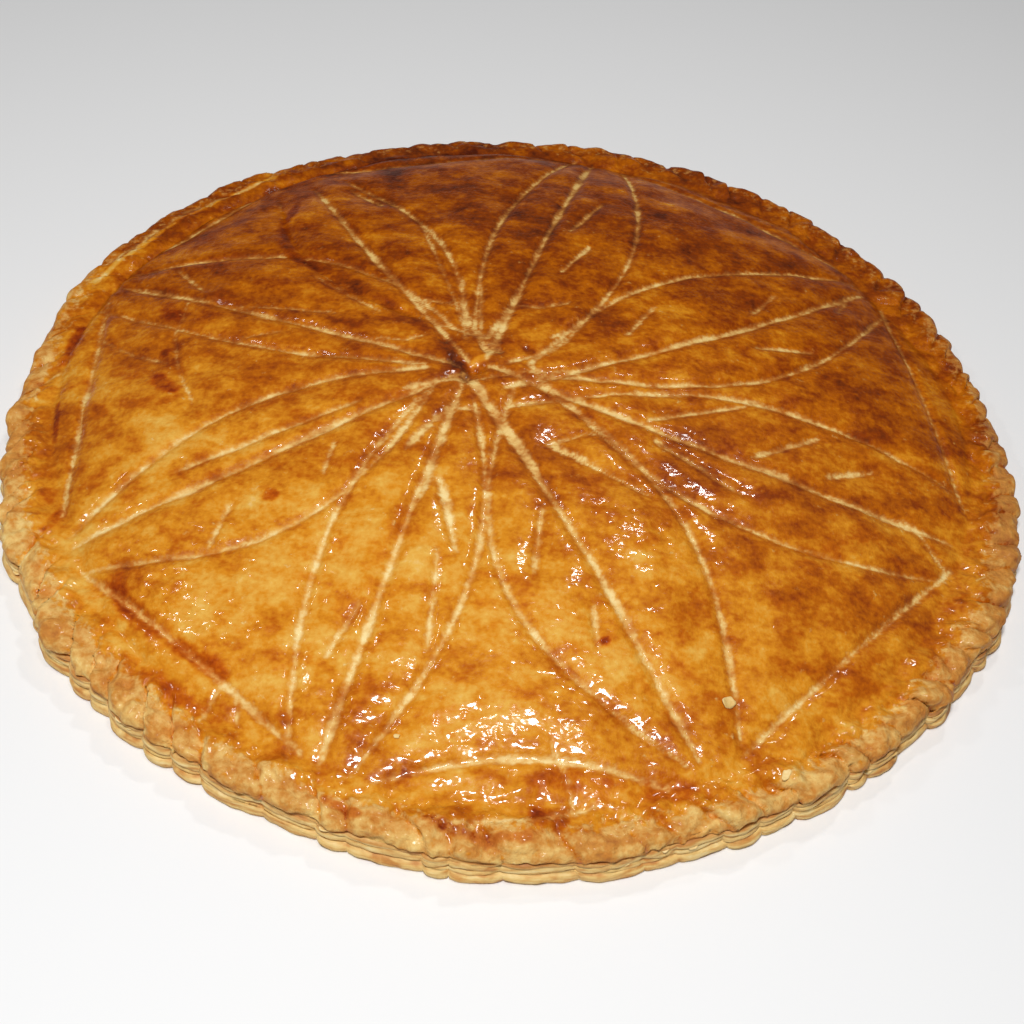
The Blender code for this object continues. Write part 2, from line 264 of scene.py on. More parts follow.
def gap_to_line(x, y, line):
    """Distance to the line, and how far along it the nearest place is, from 0 to 1."""
    best = np.full(len(x), np.inf)
    share = np.zeros(len(x))
    stretches = len(line.x) - 1
    for i in range(stretches):
        run_x, run_y = line.x[i + 1] - line.x[i], line.y[i + 1] - line.y[i]
        off_x, off_y = x - line.x[i], y - line.y[i]
        t = np.clip((off_x * run_x + off_y * run_y) / (run_x**2 + run_y**2), 0.0, 1.0)
        gap = np.hypot(off_x - t * run_x, off_y - t * run_y)
        nearer = gap < best
        best[nearer] = gap[nearer]
        share[nearer] = (i + t[nearer]) / stretches
    return best, share


def scoring(x, y):
    """Depth of the cuts, the swelling between them, and the distance outside the nearest pale strip."""
    reach = 3.0 * PILLOW_REACH
    cut = np.zeros(len(x))
    clear = np.full(len(x), reach)
    score = np.full(len(x), CLEAR_OF_CUTS)
    for number, line in enumerate(lines):
        near_x = (x > line.x.min() - reach) & (x < line.x.max() + reach)
        near = np.flatnonzero(near_x & (y > line.y.min() - reach) & (y < line.y.max() + reach))
        gap, share = gap_to_line(x[near], y[near], line)
        fade = np.minimum(1.0, CUT_AT_ENDS + CUT_GROWS * np.minimum(share, 1.0 - share))
        groove = line.depth * fade * np.exp(-((gap / line.width) ** 2))
        cut[near] = np.maximum(cut[near], groove)
        clear[near] = np.minimum(clear[near], gap)
        along = share * PRESSURE_WAVES
        waver = noise_at(along, 0.0 * share, 0.0 * share, 1.0, FIRST_LINE_SEED + number)
        taper = np.minimum(STRIP_AT_START + STRIP_GROWS * share, STRIP_AT_END + STRIP_GROWS * (1.0 - share))
        strip = line.pale * np.minimum(1.0, taper) * (PRESSURE + PRESSURE_CHANGE * waver)
        score[near] = np.minimum(score[near], gap - strip)
    puff = PILLOW * (1.0 - np.exp(-clear / PILLOW_REACH))
    return cut, puff, score


# %% [markdown]
# ## The baked form
# Baking swells the dome unevenly, puffs it between the cuts, and leaves a fold at its foot. Round the
# rim, the back of a knife has pressed in slanting notches, so tabs of every width stand between them.
# Each of these is a small function that says how far a place moves, and their sum is the cake. The
# same functions shape both the lid and the side, so the two meet exactly.

# %% Say how far each place moves as the cake bakes
TAB_REACH = 3.0 * MM
TAB_LENGTH = 13 * MM
TAB_GROOVE = 3.2 * MM
TAB_BULGE = 0.5 * MM
TAB_BULGE_RADIUS = 151 * MM
TAB_LEAN = math.radians(4.0)
TAB_SEED = 6
VENT_RADIUS = 3.2 * MM
VENT_DEPTH = 3.5 * MM
LAYER_PITCH = 2.4 * MM
LAYER_RELIEF = 0.30 * MM
PLEAT_STRETCH = (math.radians(112), math.radians(172), 0.15)
PLEAT_RADIUS = 149 * MM
PLEAT_HEIGHT = 1.3 * MM
OUTLINE_WAVES = ((3, 0.55 * MM, 43), (4, 0.7 * MM, -26), (5, 0.8 * MM, -11), (6, 0.7 * MM, -25))
SWELL = 1.6 * MM
SWELL_SIZE = 55 * MM
FOOT_WANDER = 0.035
FOOT_CREASE = 0.3 * MM
MARGIN_LUMPS = 1.3 * MM

# Round the rim: bearing in degrees, how far apart the notches are in mm, and how bold they are
TAB_TABLE = (
    (0, 9, 0.50), (25, 10, 0.45), (60, 12, 0.42), (120, 12, 0.38), (160, 9, 0.50), (190, 10, 0.65),
    (212, 13, 1.00), (245, 14, 0.95), (262, 15, 0.60), (285, 14, 0.60), (310, 13, 0.85), (335, 10, 0.80),
    (360, 9, 0.50),
)
TAB_EVENNESS = (0.55, 1.5)


def round_rim(turn):
    """How far apart the rim's notches are at a bearing, and how bold they are."""
    bearing, pitch, bold = np.array(TAB_TABLE).T
    return np.interp(np.degrees(turn), bearing, pitch * MM), np.interp(np.degrees(turn), bearing, bold)


def tab_marks():
    """Bearing of each notch, how far each tab stands out, and how deep each notch is."""
    draw = random.Random(TAB_SEED)
    marks = [0.0]
    while marks[-1] < math.tau:
        pitch, _ = round_rim(marks[-1])
        marks.append(marks[-1] + pitch * draw.uniform(*TAB_EVENNESS) / RIM_RADIUS)
    marks = np.array(marks) * math.tau / marks[-1]
    reaches = np.array([draw.uniform(0.3, 1.3) for _ in marks[1:]])
    depths = np.array([draw.uniform(0.35, 1.25) for _ in marks[1:]])
    return marks, reaches, depths


def tab_form(turn, radius):
    """At each place: the tab's round outline, its shingled back and riser, its reach, its notch's depth."""
    marks, reaches, depths = tab_marks()
    wobble = 0.022 * noise_at(radius * np.cos(turn), radius * np.sin(turn), 0.0 * turn, 9 * MM, 7)
    leaning = (turn + TAB_LEAN * (RIM_RADIUS - radius) / TAB_LENGTH + wobble) % math.tau
    index = np.clip(np.searchsorted(marks, leaning, side="right") - 1, 0, len(reaches) - 1)
    share = np.clip((leaning - marks[index]) / (marks[index + 1] - marks[index]), 0.0, 1.0)
    rounded = np.sin(math.pi * share**0.75) ** 0.5
    shingled = ease(share, 0.0, 0.16) * (1.0 - 0.6 * share**1.3) * (1.0 - ease(share, 0.92, 1.0))
    riser = ease(share, 0.01, 0.05) * (1.0 - ease(share, 0.13, 0.24))
    following = depths[(index + 1) % len(depths)]
    depth = depths[index] + (following - depths[index]) * ease(share, 0.3, 0.9)
    return rounded, shingled, riser, reaches[index], depth


def in_stretch(turn, stretch):
    """1 along a stretch of the rim, from its first bearing to its last, and easing to 0 at both ends."""
    first, last, blend = stretch
    return ease(turn, first, first + blend) * (1.0 - ease(turn, last - blend, last))


def pleat(turn, radius):
    """Rise of the folded-over margin on the far left: a crest with a crease inside it."""
    crest = np.exp(-(((radius - PLEAT_RADIUS) / (3.0 * MM)) ** 2))
    fold = np.exp(-(((radius - PLEAT_RADIUS + 4.5 * MM) / (1.6 * MM)) ** 2))
    return PLEAT_HEIGHT * in_stretch(turn, PLEAT_STRETCH) * (crest - 0.5 * fold)


def crease(turn, radius):
    """Depth of the fold at the dome's foot, sharp at the back and all but gone at the front."""
    strength = 0.55 + 0.45 * np.cos(turn - BACK_BEARING)
    return FOOT_CREASE * strength * np.exp(-(((radius - FOOT_RADIUS) / (2.0 * MM)) ** 2))


def lift(x, y, z, radius, turn):
    """How far each place of the top moves up or down."""
    swell = SWELL * noise_at(x, y, 0.0 * z, SWELL_SIZE, 1)
    ripple = 0.25 * SWELL * noise_at(x, y, 0.0 * z, SWELL_SIZE / 4.0, 2)
    about = noise_at(np.cos(turn), np.sin(turn), 0.0 * z, 0.45, 5)
    frontness = 0.5 - 0.5 * np.cos(turn - BACK_BEARING)
    fullness = BACK_FULLNESS + (FRONT_FULLNESS - BACK_FULLNESS) * frontness
    slump = dome_height(radius * (1.0 + FOOT_WANDER * about), fullness) - dome_height(radius)
    inside = 1.0 - ease(radius, FOOT_RADIUS - 4 * MM, FOOT_RADIUS + 5 * MM)
    cut, puff, _ = scoring(x, y)
    _, shingled, _, reach, depth = tab_form(turn, radius)
    edge = ease(radius, RIM_RADIUS - TAB_LENGTH - 2 * MM, RIM_RADIUS - 4 * MM)
    billow = 2.4 * np.abs(noise_at(x, y, 0.0 * z, SWELL_SIZE / 5.0, 6)) - 0.5
    lumps = (1.0 - inside) * MARGIN_LUMPS * (0.55 + 0.45 * frontness) * billow
    _, bold = round_rim(turn)
    notch = TAB_GROOVE * bold * depth * (1.0 - shingled) * edge
    plump = TAB_GROOVE * 0.6 * bold * (reach - 0.8) * shingled * edge
    plump += TAB_BULGE * bold * np.exp(-(((radius - TAB_BULGE_RADIUS) / (4.5 * MM)) ** 2))
    hole = VENT_DEPTH * np.exp(-((np.hypot(x - HUB[0], y - HUB[1]) / VENT_RADIUS) ** 2))
    top = (swell + puff) * inside + slump + ripple + lumps - notch + plump
    top += pleat(turn, radius) - cut - hole - crease(turn, radius)
    return top * ease(z, LIP_HEIGHT - 1.5 * MM, LIP_HEIGHT + 2.0 * MM)


def spread(x, y, z, radius, turn):
    """How far each place near the rim moves out: tabs, an uneven outline and flaky layers."""
    rounded, _, _, reach, _ = tab_form(turn, radius)
    edge = ease(radius, RIM_RADIUS - TAB_LENGTH, RIM_RADIUS - 2 * MM)
    _, bold = round_rim(turn)
    tabs = TAB_REACH * bold * (reach * rounded - 0.5)
    waves = sum(size * np.cos(lobes * (turn - math.radians(peak))) for lobes, size, peak in OUTLINE_WAVES)
    wave = z / LAYER_PITCH + 0.9 * noise_at(x, y, z, 14 * MM, 4)
    flaky = LAYER_RELIEF * np.cos(math.tau * wave)
    flaky *= ease(z, 0.6 * MM, 2.0 * MM) * (1.0 - ease(z, LIP_HEIGHT - 1 * MM, LIP_HEIGHT))
    return edge * (tabs + waves) + flaky * ease(radius, RIM_RADIUS - 4 * MM, RIM_RADIUS - 2 * MM)


def baked(place):
    """Where each place of the plain turned cake comes to rest."""
    x, y, z = place.T
    radius = np.hypot(x, y)
    turn = np.arctan2(y, x) % math.tau
    scale = 1.0 + spread(x, y, z, radius, turn) / np.maximum(radius, 1.5 * MM)
    return np.stack([x * scale, y * scale, z + lift(x, y, z, radius, turn)], axis=1)


def read(piece, what="co"):
    """Where each vertex of the piece is, or, for normal, the way that it faces."""
    flat = np.empty(len(piece.data.vertices) * 3)
    piece.data.vertices.foreach_get(what, flat)
    return flat.reshape(-1, 3)


def move_to(piece, place):
    """Move the piece's vertices there."""
    piece.data.vertices.foreach_set("co", np.ascontiguousarray(place).ravel())
    piece.data.update()


def push_out(piece, relief):
    """Move each vertex by its relief along the way that it faces."""
    move_to(piece, read(piece) + read(piece, "normal") * relief[:, None])


def keep_value(piece, name, value):
    """Store a number for each vertex, for the materials to read."""
    layer = piece.data.attributes.new(name, "FLOAT", "POINT")
    layer.data.foreach_set("value", np.ascontiguousarray(value, dtype=np.float32))


# %% [markdown]
# ## The lid
# The lid is the sheet that was rolled out, laid over the filling and brushed with egg. A disc of fine,
# even cells with no crowded pole is what its relief needs. A square grid gives that: each of its
# square rings is bent into a round one, and the outermost rings are led down over the lip.

# %% Bend a square grid into the lid
RINGS = 190
bpy.ops.mesh.primitive_grid_add(x_subdivisions=2 * RINGS, y_subdivisions=2 * RINGS, size=2.0)
lid = bpy.context.object
lid.name = lid.data.name = "glazed_lid"

lip = (
    (RIM_RADIUS - 0.6 * MM, MARGIN_HEIGHT - 0.7 * MM),
    (RIM_RADIUS, MARGIN_HEIGHT - 1.9 * MM),
    (RIM_RADIUS + 0.1 * MM, LIP_HEIGHT + 0.9 * MM),
    (RIM_RADIUS - 0.6 * MM, LIP_HEIGHT),
    (RIM_RADIUS - 1.2 * MM, LIP_HEIGHT - 0.9 * MM),
)


def lid_rings():
    """Radius and height of each ring of the lid, closer together round the lip."""
    dome = [(r, dome_height(r)) for r in np.arange(0.0, FOOT_RADIUS, 0.5 * MM)]
    flat = []
    for share in np.linspace(0.0, 0.85, 12):
        rise = 0.4 * MM * math.sin(math.pi * share)
        flat.append((FOOT_RADIUS + (RIM_RADIUS - FOOT_RADIUS) * share, MARGIN_HEIGHT + rise))
    section = np.array([*dome, *flat, *lip])
    step = np.hypot(*np.diff(section, axis=0).T)
    crowding = np.where(section[1:, 0] > FOOT_RADIUS + 3 * MM, 1.7, 1.0)
    walk = np.concatenate(([0.0], np.cumsum(step * crowding)))
    stop = np.linspace(0.0, walk[-1], RINGS + 1)
    return np.interp(stop, walk, section[:, 0]), np.interp(stop, walk, section[:, 1])


def square_to_turn(u, v):
    """Bearing that each place of the square gets on the disc."""
    wide = np.abs(u) >= np.abs(v)
    along_u = math.pi / 4.0 * v / np.where(np.abs(u) > 1e-9, u, 1.0)
    along_v = math.pi / 2.0 - math.pi / 4.0 * u / np.where(np.abs(v) > 1e-9, v, 1.0)
    along_u += np.where(u < 0.0, math.pi, 0.0)
    along_v += np.where(v < 0.0, math.pi, 0.0)
    return np.where(wide, along_u, along_v) % math.tau


def plain_lid(u, v):
    """The turned form of the lid before baking."""
    ring_radius, ring_height = lid_rings()
    ring = np.maximum(np.abs(u), np.abs(v)) * RINGS
    radius = np.interp(ring, np.arange(RINGS + 1), ring_radius)
    height = np.interp(ring, np.arange(RINGS + 1), ring_height)
    turn = square_to_turn(u, v)
    return np.stack([radius * np.cos(turn), radius * np.sin(turn), height], axis=1), ring


square = read(lid)
lid_plain, lid_ring = plain_lid(square[:, 0], square[:, 1])
lid_place = baked(lid_plain)
print(lid.name, len(lid.data.vertices), "vertices", len(lid.data.polygons), "cells")

# %% [markdown]
# ## The side
# Below the lip the edge of the pastry has risen into thin leaves, and the base sheet sticks out a
# little at the bottom. A ring of edges is laid under the lip and extruded down the side one station at
# a time, each made a little wider or narrower. At the table it runs in to the middle of the base.

# %% Extrude the side from a ring of edges
LIP_END = lip[-1]
side_stations = [(RIM_RADIUS - 0.9 * MM, z) for z in np.arange(7.2 * MM, 2.7 * MM, -0.3 * MM)]
side_stations += [
    (RIM_RADIUS - 0.4 * MM, BASE_LIP_HEIGHT + 0.8 * MM),
    (RIM_RADIUS, BASE_LIP_HEIGHT + 0.5 * MM),
    (RIM_RADIUS + 0.3 * MM, BASE_LIP_HEIGHT),
    (RIM_RADIUS + 0.35 * MM, 1.4 * MM),
    (RIM_RADIUS + 0.2 * MM, 1.0 * MM),
    (RIM_RADIUS - 0.05 * MM, 0.6 * MM),
    (RIM_RADIUS - 0.5 * MM, 0.25 * MM),
    (RIM_RADIUS - 1.4 * MM, 0.0),
    (RIM_RADIUS - 3.0 * MM, 0.0),
]
side_stations += [(r * MM, 0.0) for r in (150.0, 142.0, 130.0, 115.0, 95.0, 72.0, 48.0, 24.0, 6.0)]

bpy.ops.mesh.primitive_circle_add(vertices=8 * RINGS, radius=LIP_END[0], location=(0.0, 0.0, LIP_END[1]))
side = bpy.context.object
side.name = side.data.name = "flaky_side"
bpy.ops.object.transform_apply(location=True, rotation=True, scale=True)
bpy.ops.object.mode_set(mode="EDIT")
bpy.ops.mesh.select_all(action="SELECT")
last_radius, last_height = LIP_END
for radius, height in side_stations:
    bpy.ops.mesh.extrude_edges_move(TRANSFORM_OT_translate={"value": (0.0, 0.0, height - last_height)})
    widen = radius / last_radius
    bpy.ops.transform.resize(value=(widen, widen, 1.0), center_override=(0.0, 0.0, 0.0))
    last_radius, last_height = radius, height
bpy.ops.mesh.merge(type="CENTER")
bpy.ops.mesh.select_all(action="SELECT")
bpy.ops.mesh.normals_make_consistent(inside=False)
bpy.ops.object.mode_set(mode="OBJECT")
side_place = baked(read(side))
print(side.name, len(side.data.vertices), "vertices", len(side.data.polygons), "faces")

# %% [markdown]
# ## Stand the cake on the frame's origin
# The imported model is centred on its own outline, and both new pieces are moved by the same amount, so
# that they stay on it.

# %% Centre both pieces on the outline
outline = np.concatenate([lid_place, side_place])[:, :2]
centre = np.append((outline.max(axis=0) + outline.min(axis=0)) / 2.0, 0.0)
move_to(lid, lid_place - centre)
move_to(side, side_place - centre)
for piece in (lid, side):
    piece.data.shade_smooth()
print("centre moved by", [round(v / MM, 2) for v in centre], "mm")

# %% [markdown]
# ## Wrinkles, blisters and ragged edges
# Egg wash dries into a skin that the rising dough wrinkles and blisters. The wrinkles are a few
# millimetres across and a fraction of a millimetre high, so they are pushed into the mesh along the
# way that each place faces. The hub gets its torn holes, the margin its crumbly crust and the layers
# their ragged edges in the same way. Anything finer than the mesh is left to the material.

# %% Wrinkle the lid and tear the edges of the layers
# Where the glaze wrinkled most, in mm, how far that reaches across and along, and how strongly
WRINKLE_ZONES = (
    (28, -58, 11, 4, 1.0), (42, -64, 7, 5, 1.0), (-73, -97, 14, 7, 0.9), (-38, -117, 15, 9, 1.0),
    (-14, -124, 10, 8, 0.8), (8, -121, 10, 8, 0.5), (25, -97, 7, 8, 0.6), (39, -112, 10, 8, 0.8),
    (66, -121, 14, 7, 1.0), (97, -102, 14, 8, 0.5), (20, -141, 24, 6, 1.0), (-15, -140, 18, 7, 0.9),
    (50, -140, 16, 7, 0.9), (-91, -90, 10, 8, 0.8), (115, -50, 16, 10, 0.4), (-40, -60, 30, 14, 0.25),
)


def wrinkled(x, y):
    """Where the skin wrinkled as it dried, from 0 to 1: in drifts, mostly in front."""
    zone = 0.0 * x
    for middle_x, middle_y, reach_x, reach_y, strength in WRINKLE_ZONES:
        away = ((x / MM - middle_x) / reach_x) ** 2 + ((y / MM - middle_y) / reach_y) ** 2
        zone = np.maximum(zone, strength * np.exp(-0.5 * away))
    drift = ease(noise_at(x, y, 0.0 * x, 9 * MM, 18), 0.0, 0.5) * ease(-y, 20 * MM, 110 * MM)
    return np.clip(zone + 0.5 * drift, 0.0, 1.0) * (0.6 + 0.4 * noise_at(x, y, 0.0 * x, 6 * MM, 17))


# Small holes torn round the hub: place, reach and depth in mm
TEARS = (
    (-16.3, -7.0, 1.8, 1.6), (-20.5, 0.5, 1.5, 1.3), (-25.0, 9.5, 1.3, 1.0), (-11.8, 7.0, 1.4, 1.2),
    (-7.2, 6.6, 1.2, 0.9), (1.4, 7.8, 1.4, 0.9), (-15.0, 0.3, 1.6, -0.9), (-10.5, 2.5, 1.8, -0.8),
    (-13.5, -10.5, 1.5, -0.7),
)


def torn_hub(x, y):
    """How deep the ragged holes round the hub go, with crumbs of crust that stand up between them."""
    depth = 0.0 * x
    near = np.flatnonzero(np.hypot(x - HUB[0], y - HUB[1]) < 30 * MM)
    ragged = 1.0 + 0.6 * noise_at(x[near], y[near], 0.0 * near, 1.8 * MM, 23)
    for hole_x, hole_y, reach, deep in TEARS:
        away = np.hypot(x[near] / MM - hole_x, y[near] / MM - hole_y) / reach
        depth[near] += deep * MM * ragged * np.exp(-(away**2))
    return depth


# How high each kind of relief stands, how wide its lumps are, and its seed
SWELLS = (0.55 * MM, 13 * MM, 11)
DIMPLES = (0.16 * MM, 5 * MM, 13)
FOLDS = (1.05 * MM, 2.8 * MM, 12)
BLISTERS = (0.45 * MM, 2.4 * MM, 16)
CRUST_LUMPS = (0.8 * MM, 7 * MM, 14)
CRUST_CRUMBS = (0.5 * MM, 2.7 * MM, 15)
CRUST_CRACKS = (1.3 * MM, 4.6 * MM, 19)
FOLD_STRETCH = 0.45

# The corner inside the far-left fold is filled: along which stretch, how high, and at what radius
FILLED_STRETCH = (math.radians(95), math.radians(185), math.radians(20))
FILLED_HEIGHT = 1.3 * MM
FILLED_RADIUS = 143.5 * MM
FILLED_REACH = 3.6 * MM

# The layers stand out from the side by this much, in mm, and are ragged by these shares of it
LAYERS_OUT = 0.7
LEAF_RAGGED = 0.34
TORN_RAGGED = 0.22


def lumps_of(kind, x, y, z):
    """Relief of one kind."""
    height, size, seed = kind
    return height * noise_at(x, y, z, size, seed)


def fine_relief(x, y, z):
    """Swells in the glazed skin, and wrinkles that run across the slope."""
    skin = lumps_of(SWELLS, x, y, z) + lumps_of(DIMPLES, x, y, z)
    wrinkles = lumps_of(FOLDS, FOLD_STRETCH * x, y, z) + lumps_of(BLISTERS, x, y, z)
    return skin + (0.05 + 0.95 * wrinkled(x, y)) * wrinkles - torn_hub(x, y)


def crust_relief(place, radius, turn):
    """The crumbly bare crust of the margin, and the filled corner of the far-left fold."""
    crust = lumps_of(CRUST_LUMPS, *place.T) + lumps_of(CRUST_CRUMBS, *place.T)
    crust += 0.25 * CRUST_CRACKS[0] - np.abs(lumps_of(CRUST_CRACKS, *place.T))
    crust *= ease(radius, FOOT_RADIUS - 2 * MM, FOOT_RADIUS + 6 * MM)
    crust *= 0.35 + 0.65 * ease(-place[:, 1], -60 * MM, 70 * MM)
    filled = np.exp(-(((radius - FILLED_RADIUS) / FILLED_REACH) ** 2))
    return crust + FILLED_HEIGHT * in_stretch(turn, FILLED_STRETCH) * filled


lid_turn = np.arctan2(lid_plain[:, 1], lid_plain[:, 0]) % math.tau
lid_radius = np.hypot(lid_plain[:, 0], lid_plain[:, 1])
_, _, lid_score = scoring(lid_plain[:, 0], lid_plain[:, 1])
place = read(lid)
relief = fine_relief(*place.T) + crust_relief(place, lid_radius, lid_turn)
tied = ease(RINGS - lid_ring, 0.0, 3.0)
push_out(lid, relief * tied)

place = read(side)
height = place[:, 2]
on_side = ease(height, 0.2 * MM, 0.8 * MM) * (1.0 - ease(height, 7.0 * MM, 7.6 * MM))
leaves = noise_at(*(place * [1.0, 1.0, 6.0]).T, 6 * MM, 21)
torn = noise_at(*(place * [1.0, 1.0, 3.0]).T, 2.6 * MM, 22)
ragged = LEAF_RAGGED * leaves + TORN_RAGGED * torn
# Where the ragged layers dip in, the side later gets painted shade in its colour
shaded_gaps = ease(-ragged, 0.06, 0.30)
push_out(side, (LAYERS_OUT + ragged) * on_side * MM)
print("relief from", round(relief.min() / MM, 2), "to", round(relief.max() / MM, 2), "mm")

# %% [markdown]
# ## Loose flakes
# Two pale flakes and a crumb of pastry lie on the glaze, and thin shards of the layers stick out round
# the rim. Each starts as a small grid, gets a size and an outline of its own, is curled and given its
# thickness, and is then turned and set on the surface. All of a kind are joined into one piece.

# %% Model a flake and set its copies on the cake
FLAKE_THICKNESS = 0.3 * MM
FLAKE_CORNERS = 0.24
FLAKE_UNEVEN = 0.40
FLAKE_TWIST = 0.10

# Each flake's place, length and width in mm, and the way it points in degrees
TOP_FLAKES = ((62.9, -109.0, 3.9, 3.1, 25), (78.3, -127.9, 3.0, 2.1, 70), (-24.0, -128.0, 1.6, 1.2, 10))
SHARDS = 44
SHARD_SEED = 11
surface = BVHTree.FromPolygons(
    [tuple(v) for v in read(lid)], [tuple(face.vertices) for face in lid.data.polygons]
)


def new_flake(name, length, width, draw):
    """A thin curled flake with an uneven outline, lying flat at the origin."""
    bpy.ops.mesh.primitive_grid_add(x_subdivisions=7, y_subdivisions=5, size=1.0)
    flake = bpy.context.object
    flake.name = flake.data.name = name
    place = read(flake)
    skew = draw.uniform(-0.5, 0.5)
    place *= 1.0 - FLAKE_CORNERS * np.square(4.0 * place[:, 0:1] * place[:, 1:2])
    away = np.hypot(place[:, 0], place[:, 1])
    bumps = noise_at(place[:, 0], place[:, 1], 0.0 * away, 0.45, draw.randint(1, 900))
    uneven = 1.0 + FLAKE_UNEVEN * bumps * away * 2.0
    x = (place[:, 0] + skew * place[:, 1]) * uneven * length
    y = place[:, 1] * uneven * width
    curl = 1.2 * (x**2 / length) * draw.uniform(0.1, 0.5)
    z = curl + FLAKE_TWIST * length * draw.uniform(-1.0, 1.0) * place[:, 1]
    move_to(flake, np.stack([x, y, z], axis=1))
    thickness = flake.modifiers.new("thickness", "SOLIDIFY")
    thickness.thickness = FLAKE_THICKNESS
    thickness.offset = 0.0
    bpy.ops.object.modifier_apply(modifier="thickness")
    return flake


def set_flake(flake, place, facing, heading):
    """Lay the flake at a place, its flat side along facing and its length along heading."""
    up = Vector(facing).normalized()
    along = (Vector(heading) - Vector(heading).dot(up) * up).normalized()
    across = up.cross(along)
    turned = Matrix((along, across, up)).transposed().to_4x4()
    flake.data.transform(Matrix.Translation(place) @ turned)
    flake.data.update()


def join_all(pieces, name):
    """Join the pieces into one object with its origin at the world's."""
    bpy.ops.object.select_all(action="DESELECT")
    for piece in pieces:
        piece.select_set(True)
    bpy.context.view_layer.objects.active = pieces[0]
    bpy.ops.object.join()
    joined = bpy.context.object
    joined.name = joined.data.name = name
    return joined


draw = random.Random(SHARD_SEED)
fallen = []
for x, y, length, width, heading in TOP_FLAKES:
    flake = new_flake("flake", length * MM, width * MM, draw)
    hit, facing, _, _ = surface.ray_cast(Vector((x * MM, y * MM, 0.1)), Vector((0.0, 0.0, -1.0)))
    turn = math.radians(heading)
    set_flake(flake, hit + 0.25 * MM * facing, facing, (math.cos(turn), math.sin(turn), 0.0))
    fallen.append(flake)
loose_flakes = join_all(fallen, "loose_flakes")

side_now = read(side)
rim_row = np.flatnonzero((side_now[:, 2] > 3.0 * MM) & (side_now[:, 2] < 7.2 * MM))
shards = []
for _ in range(SHARDS):
    root = side_now[rim_row[draw.randrange(len(rim_row))]]
    outward = Vector((root[0], root[1], 0.0)).normalized()
    flake = new_flake("shard", draw.uniform(2.0, 6.0) * MM, draw.uniform(1.0, 2.0) * MM, draw)
    tilt = Vector((draw.uniform(-0.2, 0.2), draw.uniform(-0.2, 0.2), 1.0))
    tilt += outward * draw.uniform(-0.35, 0.2)
    heading = outward.cross(Vector((0.0, 0.0, 1.0)))
    set_flake(flake, Vector(root) - 0.3 * MM * outward, tilt, heading)
    shards.append(flake)
rim_shards = join_all(shards, "rim_shards")
for piece in (loose_flakes, rim_shards):
    piece.data.shade_smooth()
    print(piece.name, len(piece.data.polygons), "faces")

# %% [markdown]
# ## How brown each place is, and where shade is painted
# A cake browns unevenly: more at the back of this one and to its right, less in front, and most in a
# few patches, streaks and spots where the egg wash pooled. Painted shade is added to the same number in
# the rim's notches, in the torn holes round the hub and in the gaps between the side's layers. The sum
# is worked out for each vertex and kept with the mesh, and the material turns it into colour. Four more
# numbers are kept in the same way: how near a cut's pale strip is, how bare the dough is, how red it is
# stained, and how thick the glaze lies.

# %% Work out the browning and the painted shade
class Patch(NamedTuple):
    """A patch that baked darker or paler: its middle, its reach in mm, and by how much."""
    x: float
    y: float
    reach_x: float
    reach_y: float
    amount: float


PATCHES = (
    Patch(-100, 45, 45, 35, 0.09), Patch(100, 45, 40, 40, -0.05), Patch(60, -20, 30, 25, 0.03),
    Patch(-40, 95, 40, 35, 0.05), Patch(-115, -15, 38, 30, 0.07), Patch(-2, -112, 30, 18, 0.02),
    Patch(-8, 3, 16, 14, 0.08), Patch(-80, -95, 22, 16, -0.04), Patch(138, -50, 12, 40, -0.12),
    Patch(-20, -90, 50, 22, -0.03), Patch(75, -85, 32, 28, 0.06), Patch(-138, -30, 16, 30, 0.05),
)


class Streak(NamedTuple):
    """A narrow place that baked darker or paler, or that gets painted shade: its course, its half width in
    mm, how much, how red.
    """
    places: tuple
    half: float
    amount: float
    red: float = 1.0


